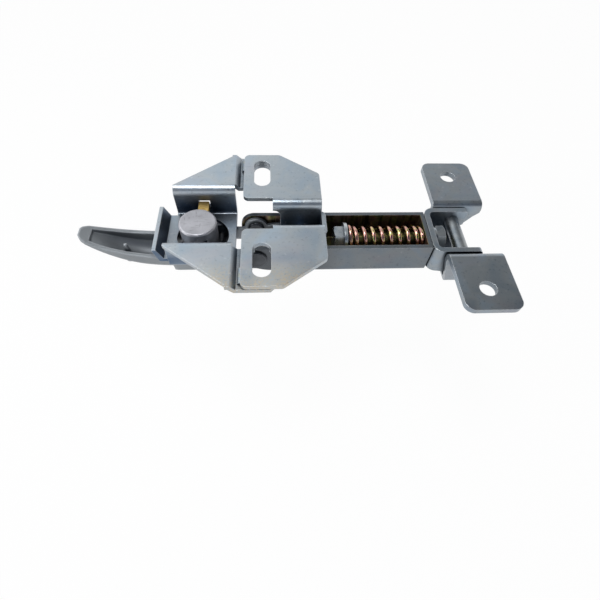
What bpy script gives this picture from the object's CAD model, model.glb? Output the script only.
"""Finishes, floor, light and camera for the engine cover lock."""

import math

import bpy
from mathutils import Matrix, Vector


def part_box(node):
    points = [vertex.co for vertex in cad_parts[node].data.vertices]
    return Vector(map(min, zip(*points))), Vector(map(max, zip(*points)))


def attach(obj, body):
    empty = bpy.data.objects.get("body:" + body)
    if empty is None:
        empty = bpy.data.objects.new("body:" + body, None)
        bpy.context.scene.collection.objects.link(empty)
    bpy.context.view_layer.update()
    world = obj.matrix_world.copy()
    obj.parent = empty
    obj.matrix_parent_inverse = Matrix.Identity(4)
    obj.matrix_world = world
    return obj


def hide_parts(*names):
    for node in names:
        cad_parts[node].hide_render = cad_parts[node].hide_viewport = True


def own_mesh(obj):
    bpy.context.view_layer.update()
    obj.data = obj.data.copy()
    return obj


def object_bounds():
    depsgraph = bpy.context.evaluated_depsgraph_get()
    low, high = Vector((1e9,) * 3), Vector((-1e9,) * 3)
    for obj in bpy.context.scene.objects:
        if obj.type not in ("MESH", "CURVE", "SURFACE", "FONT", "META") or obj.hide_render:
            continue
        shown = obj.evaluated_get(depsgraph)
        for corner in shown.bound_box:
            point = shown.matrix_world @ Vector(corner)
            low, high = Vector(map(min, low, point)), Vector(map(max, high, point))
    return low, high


bl_info = {
    "name": "Engine cover lock",
    "version": (1, 0, 0),
    "blender": (4, 5, 0),
    "location": "View3D > Sidebar > Cover Lock",
    "description": "Finishes the engine cover lock and sets its stage",
    "category": "Object",
}

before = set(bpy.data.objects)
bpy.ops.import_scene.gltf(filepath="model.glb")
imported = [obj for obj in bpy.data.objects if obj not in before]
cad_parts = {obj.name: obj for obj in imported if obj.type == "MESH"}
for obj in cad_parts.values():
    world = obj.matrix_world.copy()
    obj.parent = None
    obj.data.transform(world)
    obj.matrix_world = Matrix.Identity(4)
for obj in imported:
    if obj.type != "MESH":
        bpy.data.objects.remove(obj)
CAD_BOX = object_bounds()
MM = 0.001

# The camera, in the part's frame: place in millimetres, turns in radians, focal length in pixels
CAMERA_PLACE = (6.4, -153.7, 151.2)
CAMERA_YAW = 0.107
CAMERA_PITCH = 0.986
CAMERA_ROLL = 0.072
FOCAL_PIXELS = 407.8
IMAGE_PIXELS = 600
SENSOR_MM = 36.0
NEAR_CLIP = 10 * MM

# The sky darkens along this direction, from the low left to the high right: pairs of place and level
SKY_LEAN = (0.6, 0.0, 1.0)
SKY_STOPS = ((0.0, 1.3), (0.50, 1.3), (0.64, 0.88), (0.80, 0.58), (1.0, 0.16))
SKY_TINT = (0.97, 0.99, 1.0)

# Up to the first of these heights the sky is plain white, and the shades above show from the second on
SKY_CLEAR = (0.36, 0.56)
WHITE = (1.0, 1.0, 1.0)

# A dark card stands high behind the viewer: it fades in over these stretches of the sky's directions
CARD_Y = (0.0, -0.45)
CARD_Z = (0.35, 0.62)
CARD_COLOUR = (0.045, 0.065, 0.11)

# Where the overhead lamp hangs, its share of the lamp size, and where the fill lamp stands, in metres
OVERHEAD_X = -0.12
OVERHEAD_Y = 0.02
OVERHEAD_SHARE = 0.4
FILL_PLACE = (-0.8, -0.1, 0.45)

# The floor lies this far under the lock, so that the opened handle swings clear of it
FLOOR_DROP = 107 * MM

# The folded sheet's thickness, and where stains and films begin and end along one axis of the part
SHEET = 2.3 * MM
TAN_Y = (-30 * MM, -46 * MM)
NAVY_Z = (-4 * MM, -12 * MM)
DARK_CHEEKS_X = (-12 * MM, 2 * MM)
DARK_CHANNEL_X = (44 * MM, 24 * MM)
ROSE_LENGTH = 12 * MM
SHANK_FADE = 0.1 * MM

# The channel's inner faces are told from the outer ones at these shares of the sheet's thickness
INNER_SHARE = 0.96
END_SHARE = 0.9

# How light the same plate or steel is on other pieces, as a share
SWUNG_TINT = 0.74
CHANNEL_TINT = 0.42
DULL_TINT = 0.6
RIVET_TINT = 0.35

# The dot product of a soft and a plain normal, on an open face and on a worn edge
OPEN_FACE = 0.995
WORN_EDGE = 0.80
EDGE_SAMPLES = 4
HOLLOW_SAMPLES = 8

# The mix node's sockets for colours, by number
MIX_FACTOR, MIX_FIRST, MIX_SECOND, MIX_RESULT = 0, 6, 7, 2

FRAME_BRACKETS = ("lock_bracket", "pivot_bracket")
SWUNG_BRACKETS = ("rod_clevis", "ear_bracket")
FASTENERS = ("handle_pivot_pin", "spring_collar", "lock_washer")
DULL_FASTENERS = ("clevis_nut", "cross_pin")
DARK_STEEL = ("barrel_roll_pin", "cross_pin_clip")


def colour_property(name, description, default):
    return bpy.props.FloatVectorProperty(name=name, description=description, subtype="COLOR", size=3,
                                         min=0.0, max=1.0, default=default)


class LockFinishes(bpy.types.PropertyGroup):
    """Colours and grain of the lock's finishes."""

    zinc_cool: colour_property("Cool zinc", "Blue side of the zinc plate", (0.35, 0.42, 0.49))
    zinc_warm: colour_property("Warm zinc", "Grey side of the zinc plate", (0.42, 0.46, 0.49))
    zinc_edge: colour_property("Zinc edge", "Worn edges of the plate", (0.74, 0.77, 0.78))
    plum: colour_property("Plum", "Violet stain on the zinc plate", (0.42, 0.39, 0.44))
    shadow: colour_property("Shadow", "Grime in hollows and corners", (0.010, 0.017, 0.034))
    tan: colour_property("Tan", "Tan stain on the near edges of the brackets", (0.52, 0.42, 0.27))
    navy: colour_property("Navy", "Blue film on the walls below the wings", (0.035, 0.080, 0.16))
    straw: colour_property("Straw", "Yellow tint of the chromate", (0.62, 0.54, 0.22))
    rose: colour_property("Rose", "Pink tint of the chromate", (0.62, 0.33, 0.30))
    moss: colour_property("Moss", "Green tint of the chromate", (0.26, 0.34, 0.16))
    cast_grey: colour_property("Cast grey", "Grey of the cast handle", (0.26, 0.278, 0.295))
    stub_grey: colour_property("Stub grey", "Bare metal of the lock's stub", (0.41, 0.41, 0.44))
    brass: colour_property("Brass", "Brass of the lock's bolt and wafers", (0.56, 0.38, 0.13))
    steel: colour_property("Dark steel", "Oiled steel of rivets, pins and clips", (0.16, 0.17, 0.19))
    edge_width: bpy.props.FloatProperty(name="Edge width", description="Width of the soft edges",
                                        default=0.45 * MM, unit="LENGTH")


class LockStage(bpy.types.PropertyGroup):
    """Sizes and colours of the stage."""

    floor_size: bpy.props.FloatProperty(name="Floor size", description="Side of the square floor",
                                        default=6.0, unit="LENGTH")
    floor_colour: colour_property("Floor", "Colour of the floor", (0.92, 0.92, 0.92))
    whiteness: bpy.props.FloatProperty(name="Whiteness", description="Share of the floor that is plain white",
                                       default=0.95, min=0.0, max=1.0, subtype="FACTOR")
    lamp_height: bpy.props.FloatProperty(name="Lamp height", description="Height of the overhead lamp",
                                         default=0.7, unit="LENGTH")
    lamp_size: bpy.props.FloatProperty(name="Lamp size", description="Side of the fill lamp", default=0.6,
                                       unit="LENGTH")
    lamp_power: bpy.props.FloatProperty(name="Lamp power", description="Power of each lamp", default=2.0,
                                        unit="POWER")


class Graph:
    """Short words for building one tree of nodes."""

    def __init__(self, tree, place):
        self.tree = tree
        self.tree.nodes.clear()
        self.place = self.node("TexCoord").outputs[place]

    def node(self, kind, **values):
        """A new shader node, with its sockets linked or set by name, underscores for spaces."""
        node = self.tree.nodes.new("ShaderNode" + kind)
        for key, value in values.items():
            self.put(node.inputs[key.replace("_", " ")], value)
        return node

    def put(self, socket, value):
        """Link a socket to the value if that is a socket too, or else set it."""
        if isinstance(value, bpy.types.NodeSocket):
            self.tree.links.new(value, socket)
        else:
            socket.default_value = value

    def noise(self, scale, detail=3.0, distortion=0.0):
        """Clouds with this many to the metre."""
        return self.node("TexNoise", Vector=self.place, Scale=scale, Detail=detail,
                         Distortion=distortion).outputs["Fac"]

    def grain(self, scales, detail):
        """Clouds stretched into streaks, with this many to the metre along each axis."""
        place = self.node("Mapping", Vector=self.place, Scale=scales).outputs["Vector"]
        return self.node("TexNoise", Vector=place, Scale=1.0, Detail=detail).outputs["Fac"]

    def ramp(self, factor, *stops):
        """A colour ramp from pairs of place and colour."""
        node = self.node("ValToRGB", Fac=factor)
        elements = node.color_ramp.elements
        while len(elements) < len(stops):
            elements.new(0.5)
        for element, (where, colour) in zip(elements, stops):
            element.position = where
            element.color = tuple(colour) + (1.0,)
        return node.outputs["Color"]

    def span(self, value, low, high, out_low=0.0, out_high=1.0, smooth=False):
        """The value, taken from one span to another and held at its ends."""
        node = self.node("MapRange", Value=value, From_Min=low, From_Max=high, To_Min=out_low,
                         To_Max=out_high)
        if smooth:
            node.interpolation_type = "SMOOTHSTEP"
        return node.outputs["Result"]

    def mix(self, factor, first, second):
        """The first colour at a factor of 0, and the second at 1."""
        node = self.node("Mix")
        node.data_type = "RGBA"
        self.put(node.inputs[MIX_FACTOR], factor)
        for index, colour in ((MIX_FIRST, first), (MIX_SECOND, second)):
            plain = not isinstance(colour, bpy.types.NodeSocket)
            self.put(node.inputs[index], tuple(colour) + (1.0,) if plain else colour)
        return node.outputs[MIX_RESULT]

    def maths(self, operation, first, second=0.0):
        node = self.node("Math")
        node.operation = operation
        self.put(node.inputs[0], first)
        self.put(node.inputs[1], second)
        return node.outputs[0]

    def dot(self, first, second):
        node = self.node("VectorMath")
        node.operation = "DOT_PRODUCT"
        self.put(node.inputs[0], first)
        self.put(node.inputs[1], second)
        return node.outputs["Value"]

    def axis(self, letter, vector=None):
        return self.node("SeparateXYZ", Vector=vector or self.place).outputs[letter]


class Finish(Graph):
    """One metal: a material with a single shader."""

    def __init__(self, name):
        self.material = bpy.data.materials.new(name)
        self.material.use_nodes = True
        super().__init__(self.material.node_tree, "Object")
        self.shader = self.node("BsdfPrincipled")
        self.output = self.node("OutputMaterial", Surface=self.shader.outputs["BSDF"])

    def shade(self, **values):
        for key, value in values.items():
            self.put(self.shader.inputs[key.replace("_", " ")], value)

    def base(self):
        """What feeds the base colour so far."""
        return self.shader.inputs["Base Color"].links[0].from_socket

    def upright(self):
        """1 on upright faces, and 0 on level ones."""
        slope = self.axis("Z", self.node("NewGeometry").outputs["Normal"])
        return self.span(self.maths("ABSOLUTE", slope), 0.75, 0.35)

    def soft_edges(self, width):
        """A normal that is rounded at the edges, and a mask that is 1 on them."""
        bevel = self.node("Bevel", Radius=width)
        bevel.samples = EDGE_SAMPLES
        match = self.dot(bevel.outputs["Normal"], self.node("NewGeometry").outputs["Normal"])
        return bevel.outputs["Normal"], self.span(match, OPEN_FACE, WORN_EDGE)

    def worn(self, plate, edge, colour, amount):
        """The plate's colour, with some of another on the edges."""
        return self.mix(self.maths("MULTIPLY", edge, amount), plate, colour)

    def grimy(self, plate, colour, depth, amount, low=0.25, high=0.85):
        """The plate's colour, with some of another in hollows and corners of that depth."""
        node = self.node("AmbientOcclusion", Distance=depth)
        node.samples = HOLLOW_SAMPLES
        hollows = self.span(node.outputs["AO"], high, low)
        return self.mix(self.maths("MULTIPLY", hollows, amount), plate, colour)

    def bump(self, height, strength, distance, normal=None):
        node = self.node("Bump", Height=height, Strength=strength, Distance=distance)
        if normal is not None:
            self.put(node.inputs["Normal"], normal)
        return node.outputs["Normal"]


def finishes():
    """The colours and sizes that the sidebar holds for the finishes."""
    return bpy.context.scene.lock_finishes


def scaled(colour, factor):
    """A colour made lighter or darker, and never over 1."""
    return tuple(min(channel * factor, 1.0) for channel in colour)


def zinc_plate(name, tint=1.0, stained=0.0):
    """Blue passivated zinc plate: soft clouds, rolled grain, stains, specks, scratches and bright edges."""
    look = finishes()
    graph = Finish(name)
    clouds = graph.noise(48.0, 5.0, distortion=0.8)
    plate = graph.ramp(clouds, (0.34, scaled(look.zinc_cool, tint)), (0.52, scaled(look.zinc_warm, tint)),
                       (0.68, scaled(look.zinc_cool, tint * 1.12)))
    streaks = graph.grain((60.0, 260.0, 260.0), 4.0)
    plate = graph.mix(graph.span(streaks, 0.45, 0.75, 0.0, 0.16), plate, scaled(look.zinc_cool, tint * 0.72))
    stains = graph.noise(31.0, 5.0, distortion=1.4)
    plate = graph.mix(graph.span(stains, 0.50, 0.72, 0.0, 0.42), plate, scaled(look.plum, tint))
    near = graph.span(graph.axis("Y"), *TAN_Y, 0.0, stained)
    mottle = graph.maths("MULTIPLY", graph.span(graph.noise(60.0, 3.0), 0.35, 0.60, 0.35, 0.85),
                         graph.span(graph.noise(900.0, 3.0), 0.42, 0.58, 0.35, 1.0))
    plate = graph.mix(graph.maths("MULTIPLY", near, mottle), plate, scaled(look.tan, tint * 1.15))
    wall = graph.maths("MULTIPLY", graph.span(graph.axis("Z"), *NAVY_Z, 0.0, stained), graph.upright())
    wall = graph.maths("MULTIPLY", wall, graph.span(clouds, 0.35, 0.65, 0.90, 0.62))
    plate = graph.mix(wall, plate, look.navy)
    specks = graph.noise(620.0, 2.0)
    plate = graph.mix(graph.span(specks, 0.60, 0.76, 0.0, 0.50), plate, scaled(look.zinc_cool, tint * 0.5))
    pale = graph.noise(380.0, 2.0)
    plate = graph.mix(graph.span(pale, 0.66, 0.80, 0.0, 0.42), plate, scaled(look.zinc_edge, tint))
    normal, edge = graph.soft_edges(look.edge_width)
    plate = graph.worn(plate, edge, look.zinc_edge, amount=0.75)
    plate = graph.grimy(plate, look.shadow, depth=12.0 * MM, amount=0.85, low=0.35, high=0.90)
    grain = graph.grain((220.0, 1900.0, 1900.0), 3.0)
    scratches = graph.grain((3200.0, 90.0, 700.0), 2.0)
    rough = graph.span(graph.maths("ADD", clouds, graph.maths("MULTIPLY", grain, 0.5)), 0.4, 1.1, 0.26, 0.42)
    relief = graph.maths("ADD", grain, graph.span(scratches, 0.62, 0.75, 0.0, -0.8))
    graph.shade(Base_Color=plate, Metallic=0.92, Roughness=rough,
                Normal=graph.bump(relief, strength=0.25, distance=0.02 * MM, normal=normal))
    return graph


def fastener_steel(name, tint=1.0):
    """Brighter zinc on turned and rolled pieces, with fine turning marks."""
    look = finishes()
    graph = Finish(name)
    clouds = graph.noise(140.0, 4.0)
    metal = graph.ramp(clouds, (0.3, scaled(look.zinc_cool, 0.80 * tint)),
                       (0.7, scaled(look.zinc_edge, 0.80 * tint)))
    normal, edge = graph.soft_edges(look.edge_width)
    metal = graph.worn(metal, edge, look.zinc_edge, amount=0.6)
    metal = graph.grimy(metal, look.shadow, depth=5.0 * MM, amount=0.75)
    marks = graph.grain((700.0, 3400.0, 700.0), 3.0)
    graph.shade(Base_Color=metal, Metallic=0.95, Roughness=graph.span(clouds, 0.3, 0.7, 0.22, 0.36),
                Normal=graph.bump(marks, strength=0.3, distance=0.04 * MM, normal=normal))
    return graph


def long_bolt(name):
    """The long bolt: a pale hexagon head, and a shank in dark olive chromate."""
    look = finishes()
    graph = fastener_steel(name)
    low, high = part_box("spring_collar")
    shank = graph.span(graph.axis("X"), low[0], low[0] + SHANK_FADE)
    clouds = graph.span(graph.noise(420.0, 4.0), 0.35, 0.65)
    olive = graph.mix(clouds, scaled(look.moss, 0.35), scaled(look.straw, 0.45))
    graph.shade(Base_Color=graph.mix(shank, graph.base(), olive))
    return graph


def dark_steel(name, tint=1.0):
    """Oiled dark steel with faint clouds and rubbed edges."""
    look = finishes()
    graph = Finish(name)
    clouds = graph.noise(160.0, 4.0)
    metal = graph.ramp(clouds, (0.3, scaled(look.steel, 0.6 * tint)), (0.75, scaled(look.steel, 1.5 * tint)))
    normal, edge = graph.soft_edges(look.edge_width)
    metal = graph.worn(metal, edge, scaled(look.steel, 2.2), amount=0.6)
    graph.shade(Base_Color=metal, Metallic=0.9, Roughness=graph.span(clouds, 0.3, 0.7, 0.26, 0.42),
                Normal=graph.bump(graph.noise(2400.0), strength=0.2, distance=0.02 * MM, normal=normal))
    return graph


def cast_grey(name):
    """The handle's cast skin: even grey with a fine orange peel, rubbed edges and dark cheeks."""
    look = finishes()
    graph = Finish(name)
    clouds = graph.noise(45.0, 4.0)
    skin = graph.ramp(clouds, (0.3, scaled(look.cast_grey, 0.86)), (0.7, scaled(look.cast_grey, 1.16)))
    cheeks = graph.span(graph.axis("X"), *DARK_CHEEKS_X, 0.0, 0.8)
    skin = graph.mix(cheeks, skin, scaled(look.steel, 0.35))
    normal, edge = graph.soft_edges(look.edge_width * 3.0)
    skin = graph.worn(skin, edge, scaled(look.cast_grey, 2.1), amount=0.9)
    skin = graph.grimy(skin, look.shadow, depth=14.0 * MM, amount=0.65, low=0.35, high=0.80)
    peel = graph.maths("ADD", graph.noise(700.0, 2.0), graph.maths("MULTIPLY", graph.noise(2500.0, 2.0), 0.4))
    graph.shade(Base_Color=skin, Metallic=0.55, Roughness=graph.span(clouds, 0.3, 0.7, 0.38, 0.50),
                Normal=graph.bump(peel, strength=0.3, distance=0.05 * MM, normal=normal))
    return graph


def bare_casting(name):
    """The stub's bare metal: warm grey with short crossing scratches on its end."""
    look = finishes()
    graph = Finish(name)
    clouds = graph.noise(120.0, 4.0)
    metal = graph.ramp(clouds, (0.3, scaled(look.stub_grey, 0.84)), (0.72, scaled(look.stub_grey, 1.14)))
    across = graph.grain((210.0, 1500.0, 1500.0), 2.0)
    along = graph.grain((1300.0, 260.0, 1500.0), 2.0)
    marks = graph.maths("MAXIMUM", graph.span(across, 0.60, 0.70), graph.span(along, 0.64, 0.72))
    metal = graph.mix(graph.maths("MULTIPLY", marks, 0.45), metal, scaled(look.stub_grey, 0.45))
    normal, edge = graph.soft_edges(look.edge_width * 2.0)
    metal = graph.worn(metal, edge, scaled(look.stub_grey, 2.0), amount=0.9)
    metal = graph.grimy(metal, look.shadow, depth=6.0 * MM, amount=0.8)
    graph.shade(Base_Color=metal, Metallic=0.75, Roughness=graph.span(clouds, 0.3, 0.7, 0.34, 0.48),
                Normal=graph.bump(marks, strength=0.35, distance=-0.05 * MM, normal=normal))
    return graph


def lock_brass(name):
    """Drawn brass with a fine grain across it and rubbed edges."""
    look = finishes()
    graph = Finish(name)
    clouds = graph.noise(300.0, 4.0)
    metal = graph.ramp(clouds, (0.3, scaled(look.brass, 0.75)), (0.7, scaled(look.brass, 1.2)))
    normal, edge = graph.soft_edges(look.edge_width)
    metal = graph.worn(metal, edge, scaled(look.brass, 1.7), amount=0.5)
    metal = graph.grimy(metal, look.shadow, depth=6.0 * MM, amount=0.7)
    grain = graph.grain((2600.0, 260.0, 2600.0), 3.0)
    graph.shade(Base_Color=metal, Metallic=0.95, Roughness=graph.span(grain, 0.3, 0.7, 0.28, 0.42),
                Normal=graph.bump(grain, strength=0.25, distance=0.02 * MM, normal=normal))
    return graph


def chromate(graph, scale):
    """The straw, rose and moss bands of yellow chromate, as a colour."""
    look = finishes()
    bands = graph.noise(scale, 3.0, distortion=1.5)
    return graph.ramp(bands, (0.30, look.moss), (0.40, look.straw), (0.50, look.rose),
                      (0.58, scaled(look.rose, 0.7)), (0.66, scaled(look.straw, 1.1)), (0.76, look.moss))


def spring_chromate(name):
    """Bright chromate on the spring's wire, redder towards the bolt's head."""
    look = finishes()
    graph = Finish(name)
    low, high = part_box("draw_spring")
    near_head = graph.span(graph.axis("X"), low[0] + ROSE_LENGTH, low[0], 0.0, 0.75)
    colour = graph.mix(near_head, chromate(graph, 240.0), look.rose)
    colour = graph.grimy(colour, scaled(look.moss, 0.15), depth=3.5 * MM, amount=0.9, low=0.2, high=0.7)
    rough = graph.span(graph.noise(400.0), 0.3, 0.7, 0.14, 0.26)
    graph.shade(Base_Color=colour, Metallic=1.0, Roughness=rough,
                Normal=graph.bump(graph.noise(1800.0), strength=0.15, distance=0.02 * MM))
    return graph


def channel_plate(name):
    """Darker zinc plate outside, and the shadowed yellow chromate of the channel inside."""
    look = finishes()
    graph = zinc_plate(name, CHANNEL_TINT)
    low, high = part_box("drawbar_channel")
    across = graph.maths("ABSOLUTE", graph.axis("Y"))
    inside = graph.maths("LESS_THAN", across, high[1] - SHEET * INNER_SHARE)
    above = graph.maths("GREATER_THAN", graph.axis("Z"), low[2] + SHEET * INNER_SHARE)
    before = graph.maths("LESS_THAN", graph.axis("X"), high[0] - SHEET * END_SHARE)
    mask = graph.maths("MULTIPLY", graph.maths("MULTIPLY", inside, above), before)
    dark_end = graph.span(graph.axis("X"), *DARK_CHANNEL_X, 0.0, 0.72)
    plate = graph.mix(dark_end, graph.base(), scaled(look.steel, 0.4))
    dim = graph.mix(0.70, chromate(graph, 70.0), scaled(look.moss, 0.2))
    streaks = graph.grain((420.0, 60.0, 60.0), 4.0)
    dim = graph.mix(graph.span(streaks, 0.45, 0.65, 0.0, 0.85), dim, scaled(look.moss, 0.06))
    graph.shade(Base_Color=graph.mix(mask, plate, dim))
    return graph


def weld_metal(name):
    """A weld bead with cross ripples and faint heat tints under the zinc."""
    look = finishes()
    graph = Finish(name)
    ripple = graph.node("TexWave", Vector=graph.place, Scale=260.0, Distortion=2.0, Detail=2.0)
    ripple.bands_direction = "Y"
    heat = graph.span(graph.noise(500.0), 0.45, 0.7, 0.0, 0.35)
    metal = graph.mix(heat, scaled(look.zinc_cool, 0.9), look.straw)
    metal = graph.grimy(metal, look.shadow, depth=4.0 * MM, amount=0.8)
    rough = graph.span(graph.noise(700.0), 0.3, 0.7, 0.32, 0.5)
    graph.shade(Base_Color=metal, Metallic=0.92, Roughness=rough,
                Normal=graph.bump(ripple.outputs["Fac"], strength=0.5, distance=0.15 * MM))
    return graph


def give(nodes, graph):
    """Put one finish on CAD nodes."""
    for name in nodes:
        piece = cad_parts[name]
        piece.data.materials.clear()
        piece.data.materials.append(graph.material)


class LOCK_OT_brackets(bpy.types.Operator):
    """Finish the folded brackets in zinc plate"""

    bl_idname = "lock.brackets"
    bl_label = "Brackets"
    bl_options = {"REGISTER", "UNDO"}

    def execute(self, context):
        give(FRAME_BRACKETS, zinc_plate("stained_zinc_plate", stained=1.0))
        give(SWUNG_BRACKETS, zinc_plate("dark_zinc_plate", SWUNG_TINT))
        return {"FINISHED"}


class LOCK_OT_welds(bpy.types.Operator):
    """Finish the weld beads"""

    bl_idname = "lock.welds"
    bl_label = "Welds"
    bl_options = {"REGISTER", "UNDO"}

    def execute(self, context):
        give(("weld_beads",), weld_metal("weld_metal"))
        return {"FINISHED"}


class LOCK_OT_handle(bpy.types.Operator):
    """Finish the cast pull handle"""

    bl_idname = "lock.handle"
    bl_label = "Pull handle"
    bl_options = {"REGISTER", "UNDO"}

    def execute(self, context):
        give(("pull_handle",), cast_grey("cast_grey"))
        return {"FINISHED"}


class LOCK_OT_keyed_lock(bpy.types.Operator):
    """Finish the lock's stub, plug, wafers and bolt"""

    bl_idname = "lock.keyed_lock"
    bl_label = "Keyed lock"
    bl_options = {"REGISTER", "UNDO"}

    def execute(self, context):
        give(("lock_barrel", "lock_plug"), bare_casting("bare_casting"))
        give(("lock_wafers", "lock_bolt"), lock_brass("lock_brass"))
        return {"FINISHED"}


class LOCK_OT_drawbar(bpy.types.Operator):
    """Finish the drawbar channel"""

    bl_idname = "lock.drawbar"
    bl_label = "Drawbar channel"
    bl_options = {"REGISTER", "UNDO"}

    def execute(self, context):
        give(("drawbar_channel",), channel_plate("channel_plate"))
        return {"FINISHED"}


class LOCK_OT_spring(bpy.types.Operator):
    """Stand a spring in yellow chromate in the CAD spring's place, and let it close up with the rod"""

    bl_idname = "lock.spring"
    bl_label = "Draw spring"
    bl_options = {"REGISTER", "UNDO"}

    def execute(self, context):
        coils = bpy.data.objects.new("spring_coils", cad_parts["draw_spring"].data.copy())
        bpy.context.collection.objects.link(coils)
        coils.data.materials.clear()
        coils.data.materials.append(spring_chromate("spring_chromate").material)
        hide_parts("draw_spring")
        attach(coils, "drawbar")
        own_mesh(coils)
        return {"FINISHED"}


class LOCK_OT_fasteners(bpy.types.Operator):
    """Finish the pins, rivets, bolt, nut, washers and clips"""

    bl_idname = "lock.fasteners"
    bl_label = "Pins and fasteners"
    bl_options = {"REGISTER", "UNDO"}

    def execute(self, context):
        give(FASTENERS, fastener_steel("fastener_steel"))
        give(DULL_FASTENERS, fastener_steel("dull_steel", DULL_TINT))
        give(("draw_bolt",), long_bolt("long_bolt"))
        give(DARK_STEEL, dark_steel("dark_steel"))
        give(("drawbar_rivets",), dark_steel("rivet_steel", RIVET_TINT))
        return {"FINISHED"}


class LOCK_OT_stage(bpy.types.Operator):
    """Set the floor, the lamps, the surroundings and the camera"""

    bl_idname = "lock.stage"
    bl_label = "Stage"
    bl_options = {"REGISTER", "UNDO"}

    def execute(self, context):
        make_floor()
        make_lamps()
        make_world()
        make_camera()
        return {"FINISHED"}


def make_floor():
    stage = bpy.context.scene.lock_stage
    half = stage.floor_size / 2
    level = CAD_BOX[0][2] - FLOOR_DROP
    mesh = bpy.data.meshes.new("floor")
    corners = [(x * half, y * half, level) for x, y in ((-1, -1), (1, -1), (1, 1), (-1, 1))]
    mesh.from_pydata(corners, [], [(0, 1, 2, 3)])
    floor = bpy.data.objects.new("floor", mesh)
    bpy.context.collection.objects.link(floor)
    graph = Finish("floor_paint")
    shade = graph.noise(3.0, 2.0)
    colour = graph.ramp(shade, (0.3, scaled(stage.floor_colour, 0.99)), (0.7, stage.floor_colour))
    graph.shade(Base_Color=colour, Roughness=0.9)
    paper = graph.node("Emission", Color=WHITE + (1.0,))
    path = graph.node("LightPath")
    seen = graph.maths("MAXIMUM", path.outputs["Is Camera Ray"], path.outputs["Is Glossy Ray"])
    seen = graph.maths("MAXIMUM", seen, path.outputs["Is Transmission Ray"])
    choose = graph.node("MixShader", Fac=graph.maths("MULTIPLY", seen, stage.whiteness))
    graph.put(choose.inputs[1], graph.shader.outputs["BSDF"])
    graph.put(choose.inputs[2], paper.outputs["Emission"])
    graph.put(graph.output.inputs["Surface"], choose.outputs["Shader"])
    mesh.materials.append(graph.material)


def add_lamp(name, place, size, power):
    """A square lamp that faces the lock."""
    light = bpy.data.lights.new(name, "AREA")
    light.shape = "SQUARE"
    light.size = size
    light.energy = power
    lamp = bpy.data.objects.new(name, light)
    lamp.location = place
    lamp.rotation_euler = (-Vector(place)).to_track_quat("-Z", "Y").to_euler()
    bpy.context.collection.objects.link(lamp)


def make_lamps():
    stage = bpy.context.scene.lock_stage
    overhead = (OVERHEAD_X, OVERHEAD_Y, stage.lamp_height)
    add_lamp("overhead", overhead, stage.lamp_size * OVERHEAD_SHARE, stage.lamp_power)
    add_lamp("left_fill", FILL_PLACE, stage.lamp_size, stage.lamp_power)


def make_world():
    """A soft sky for the metal to mirror, white low down and on the left, with a dark card."""
    world = bpy.data.worlds.new("surroundings")
    bpy.context.scene.world = world
    world.use_nodes = True
    graph = Graph(world.node_tree, "Generated")
    levels = [(where, [level * tint for tint in SKY_TINT]) for where, level in SKY_STOPS]
    sky = graph.ramp(graph.dot(graph.place, SKY_LEAN), *levels)
    height = graph.axis("Z")
    card = graph.maths("MULTIPLY", graph.span(graph.axis("Y"), *CARD_Y, smooth=True),
                       graph.span(height, *CARD_Z, smooth=True))
    sky = graph.mix(card, sky, CARD_COLOUR)
    sky = graph.mix(graph.span(height, *SKY_CLEAR, smooth=True), WHITE, sky)
    graph.node("OutputWorld", Surface=graph.node("Background", Color=sky).outputs["Background"])


def make_camera():
    """The camera stands where the photograph was taken from."""
    ahead = Vector((math.sin(CAMERA_YAW) * math.cos(CAMERA_PITCH),
                    math.cos(CAMERA_YAW) * math.cos(CAMERA_PITCH), -math.sin(CAMERA_PITCH)))
    level = ahead.cross(Vector((0, 0, 1))).normalized()
    up = level.cross(ahead)
    right = math.cos(CAMERA_ROLL) * level + math.sin(CAMERA_ROLL) * up
    top = math.cos(CAMERA_ROLL) * up - math.sin(CAMERA_ROLL) * level
    turn = Matrix((right, top, -ahead)).transposed().to_4x4()
    data = bpy.data.cameras.new("camera")
    data.sensor_width = SENSOR_MM
    data.lens = SENSOR_MM * FOCAL_PIXELS / IMAGE_PIXELS
    data.clip_start = NEAR_CLIP
    camera = bpy.data.objects.new("camera", data)
    camera.matrix_world = Matrix.Translation(Vector(CAMERA_PLACE) * MM) @ turn
    bpy.context.collection.objects.link(camera)
    bpy.context.scene.camera = camera
    bpy.context.scene.view_settings.view_transform = "Standard"


OPERATORS = (LOCK_OT_brackets, LOCK_OT_welds, LOCK_OT_handle, LOCK_OT_keyed_lock, LOCK_OT_drawbar,
             LOCK_OT_spring, LOCK_OT_fasteners, LOCK_OT_stage)


class LOCK_PT_sidebar(bpy.types.Panel):
    """The lock's steps in order, and its settings"""

    bl_idname = "LOCK_PT_sidebar"
    bl_label = "Engine cover lock"
    bl_space_type = "VIEW_3D"
    bl_region_type = "UI"
    bl_category = "Cover Lock"

    def draw(self, context):
        for operator in OPERATORS:
            self.layout.operator(operator.bl_idname)
        for group in (context.scene.lock_finishes, context.scene.lock_stage):
            for name in group.__annotations__:
                self.layout.prop(group, name)


CLASSES = (LockFinishes, LockStage) + OPERATORS + (LOCK_PT_sidebar,)


def register():
    for cls in CLASSES:
        bpy.utils.register_class(cls)
    bpy.types.Scene.lock_finishes = bpy.props.PointerProperty(type=LockFinishes)
    bpy.types.Scene.lock_stage = bpy.props.PointerProperty(type=LockStage)


def unregister():
    del bpy.types.Scene.lock_stage
    del bpy.types.Scene.lock_finishes
    for cls in reversed(CLASSES):
        bpy.utils.unregister_class(cls)


def plain(box):
    """A box as lists of plain numbers."""
    return [[float(value) for value in corner] for corner in box]


def main():
    register()
    for operator in OPERATORS:
        group, name = operator.bl_idname.split(".")
        getattr(getattr(bpy.ops, group), name)()


if __name__ == "__main__":
    main()
